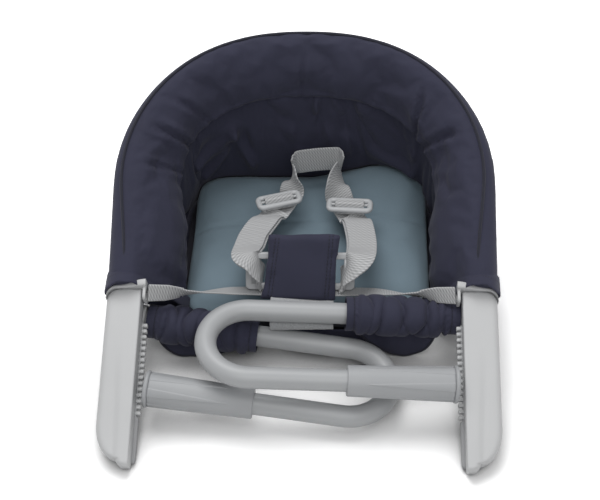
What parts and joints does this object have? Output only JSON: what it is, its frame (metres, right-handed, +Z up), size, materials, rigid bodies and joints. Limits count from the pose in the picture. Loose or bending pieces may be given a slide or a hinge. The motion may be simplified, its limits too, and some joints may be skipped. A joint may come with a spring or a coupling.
{
  "type": "hook-on table chair",
  "caption": "Fabric hook-on table chair with padded rim, crossed swinging clamp bars, ribbed grips, padded arms and a buckled harness.",
  "frame": {"origin": "on the floor below the middle of the bounding box", "axes": "+Z up, -Y towards the front where the arms point, +X to the right as seen from the front"},
  "size_m": [0.4054, 0.4214, 0.2409],
  "materials": {
    "arm_plastic": "smooth light grey plastic",
    "rubber": "ribbed grey rubber",
    "painted_tube": "smooth grey paint",
    "grip_plastic": "matt grey plastic",
    "hoop_metal": "plain drawn tube",
    "screw_steel": "plain steel",
    "navy_cloth": "woven navy cloth",
    "teal_cloth": "woven slate teal cloth",
    "board": "plain board",
    "webbing": "light grey twill webbing",
    "buckle_plastic": "smooth grey plastic"
  },
  "bodies": {
    "frame": {"left_arm_shell": "arm_plastic", "left_table_pad": "rubber", "left_belt_anchor": "arm_plastic", "left_hoop_screw": "screw_steel", "left_pivot_bush": "grip_plastic", "left_sock": "navy_cloth", "left_waist_belt": "webbing", "left_shoulder_strap": "webbing", "right_arm_shell": "arm_plastic", "right_table_pad": "rubber", "right_belt_anchor": "arm_plastic", "right_hoop_screw": "screw_steel", "right_pivot_bush": "grip_plastic", "right_sock": "navy_cloth", "right_waist_belt": "webbing", "right_shoulder_strap": "webbing", "hoop_tube": "hoop_metal", "rim_pad": "navy_cloth", "back_panel": "navy_cloth", "base_cover": "navy_cloth", "seat_board": "board", "seat_cushion": "teal_cloth", "front_apron": "navy_cloth", "crotch_pad": "navy_cloth", "crotch_strap": "webbing", "buckle_body": "buckle_plastic", "neck_strap": "webbing"},
    "left_clamp": {"left_clamp_tube": "painted_tube", "left_pivot_cap": "grip_plastic", "left_grip_sleeve": "grip_plastic", "left_grip_cap": "grip_plastic"},
    "left_slider": {"left_strap_slider": "buckle_plastic"},
    "left_clip": {"left_buckle_clip": "buckle_plastic"},
    "right_clamp": {"right_clamp_tube": "painted_tube", "right_pivot_cap": "grip_plastic", "right_grip_sleeve": "grip_plastic", "right_grip_cap": "grip_plastic"},
    "right_slider": {"right_strap_slider": "buckle_plastic"},
    "right_clip": {"right_buckle_clip": "buckle_plastic"},
    "button": {"buckle_button": "buckle_plastic"}
  },
  "joints": [
    {"name": "right_clamp_swing", "type": "hinge", "parent": "frame", "child": "right_clamp", "pos_m": [0.164, -0.04428, 0.05252], "axis": [0.9953, 0.0417, -0.0871], "range_deg": [0, 45]},
    {"name": "left_clamp_swing", "type": "hinge", "parent": "frame", "child": "left_clamp", "pos_m": [-0.164, -0.04428, 0.04335], "axis": [0.9921, -0.0868, -0.0903], "range_deg": [0, 63]},
    {"name": "left_slider_slide", "type": "slide", "parent": "frame", "child": "left_slider", "axis": [0, 0.9994, -0.0333], "range_m": [-0.006, 0.006]},
    {"name": "right_slider_slide", "type": "slide", "parent": "frame", "child": "right_slider", "axis": [0, 0.9994, -0.0333], "range_m": [-0.006, 0.006]},
    {"name": "left_clip_release", "type": "slide", "parent": "frame", "child": "left_clip", "axis": [-1, 0, 0], "range_m": [0, 0.018]},
    {"name": "right_clip_release", "type": "slide", "parent": "frame", "child": "right_clip", "axis": [1, 0, 0], "range_m": [0, 0.018]},
    {"name": "button_press", "type": "slide", "parent": "frame", "child": "button", "axis": [0, 0.8192, -0.5736], "range_m": [0, 0.0025], "stiffness_N_per_m": 800}
  ],
  "couplings": [
    {"joint": "left_clamp_swing", "follows": "right_clamp_swing", "ratio": 1.4}
  ]
}
